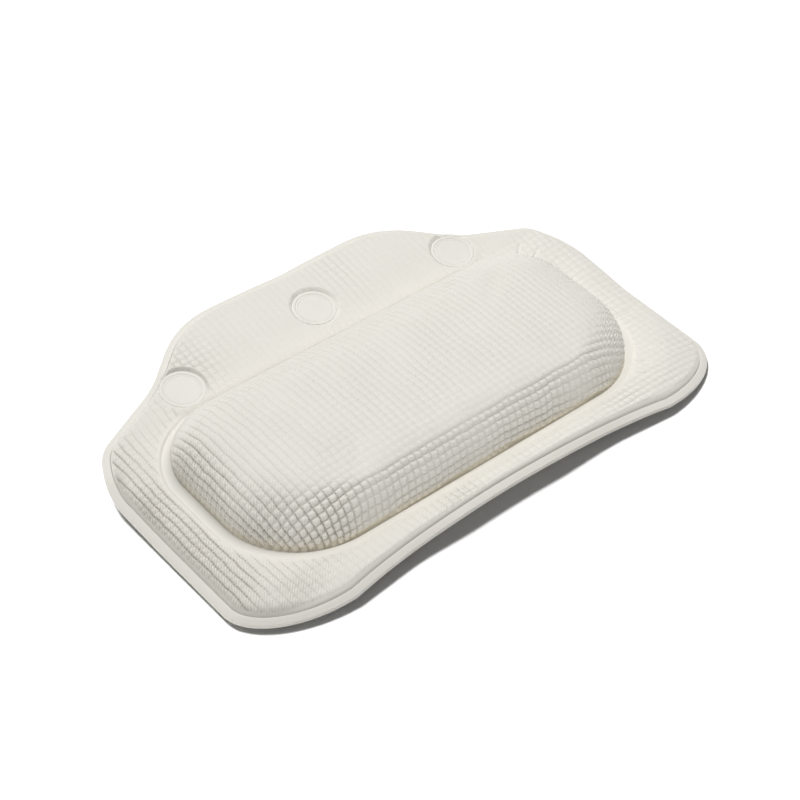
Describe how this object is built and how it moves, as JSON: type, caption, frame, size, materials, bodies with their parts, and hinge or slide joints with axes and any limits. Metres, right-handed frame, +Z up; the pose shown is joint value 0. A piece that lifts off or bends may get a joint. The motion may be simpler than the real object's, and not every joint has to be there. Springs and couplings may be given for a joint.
{
  "type": "bath pillow",
  "caption": "Padded vinyl bath pillow: waffle-embossed bolster in a welded border, with a flap that folds over the bath rim and suction cups behind it.",
  "frame": {"origin": "on the surface the pillow lies on, under the middle of its box", "axes": "+X along the pillow's length, +Y from the front border towards the flap, +Z up out of the padded front face"},
  "size_m": [0.33, 0.2112, 0.0446],
  "materials": {
    "embossed_foam": "soft waffle-embossed vinyl foam, off-white",
    "back_vinyl": "smooth satin vinyl sheet, off-white",
    "core_foam": "open-cell foam block",
    "disc_vinyl": "smooth satin vinyl",
    "clear_vinyl": "soft translucent vinyl"
  },
  "bodies": {
    "headrest": {"front_cover_body": "embossed_foam", "back_cover_body": "back_vinyl", "bolster_core": "core_foam"},
    "flap": {"front_cover_flap": "embossed_foam", "back_cover_flap": "back_vinyl", "anchor_disc_left": "disc_vinyl", "anchor_disc_middle": "disc_vinyl", "anchor_disc_right": "disc_vinyl"},
    "cup_left": {"suction_cup_left": "clear_vinyl"},
    "cup_middle": {"suction_cup_middle": "clear_vinyl"},
    "cup_right": {"suction_cup_right": "clear_vinyl"}
  },
  "joints": [
    {"name": "flap_fold", "type": "hinge", "parent": "headrest", "child": "flap", "pos_m": [0, 0.04988, 0.00725], "axis": [1, 0, 0], "range_deg": [-90, 0], "stiffness_Nm_per_rad": 0.5},
    {"name": "cup_left_swivel", "type": "hinge", "parent": "flap", "child": "cup_left", "pos_m": [-0.096, 0.06343, 0.01788], "axis": [0, -0.1908, 0.9816], "continuous": true},
    {"name": "cup_middle_swivel", "type": "hinge", "parent": "flap", "child": "cup_middle", "pos_m": [0, 0.07187, 0.01952], "axis": [0, -0.1908, 0.9816], "continuous": true},
    {"name": "cup_right_swivel", "type": "hinge", "parent": "flap", "child": "cup_right", "pos_m": [0.096, 0.06343, 0.01788], "axis": [0, -0.1908, 0.9816], "continuous": true}
  ]
}
